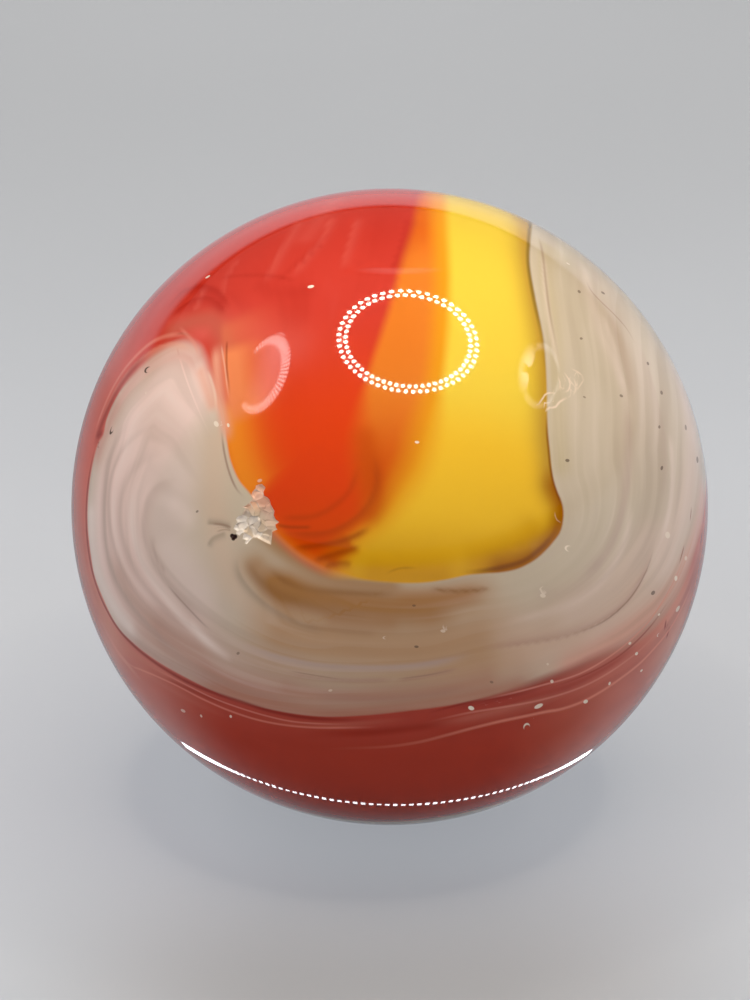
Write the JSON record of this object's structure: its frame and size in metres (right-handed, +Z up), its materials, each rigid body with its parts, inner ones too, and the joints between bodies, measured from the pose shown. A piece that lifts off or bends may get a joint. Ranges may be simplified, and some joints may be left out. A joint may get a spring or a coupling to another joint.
{
  "type": "glass marble",
  "caption": "Solid glass playing marble: a ball of milky swirled glass with an oxblood band and a red, orange and yellow patch, chipped on its face.",
  "frame": {"origin": "centre of the ball", "axes": "+Z up as the ball lies, -Y towards the side that carries the patch's foot and the chip, +X to that side's right"},
  "size_m": [0.016, 0.016, 0.016],
  "materials": {
    "swirled_glass": "fire-polished opaque and milky glass, swirled in oxblood, red, orange and yellow, with a rough white chip"
  },
  "bodies": {
    "root": {"marble": "swirled_glass"}
  },
  "joints": []
}
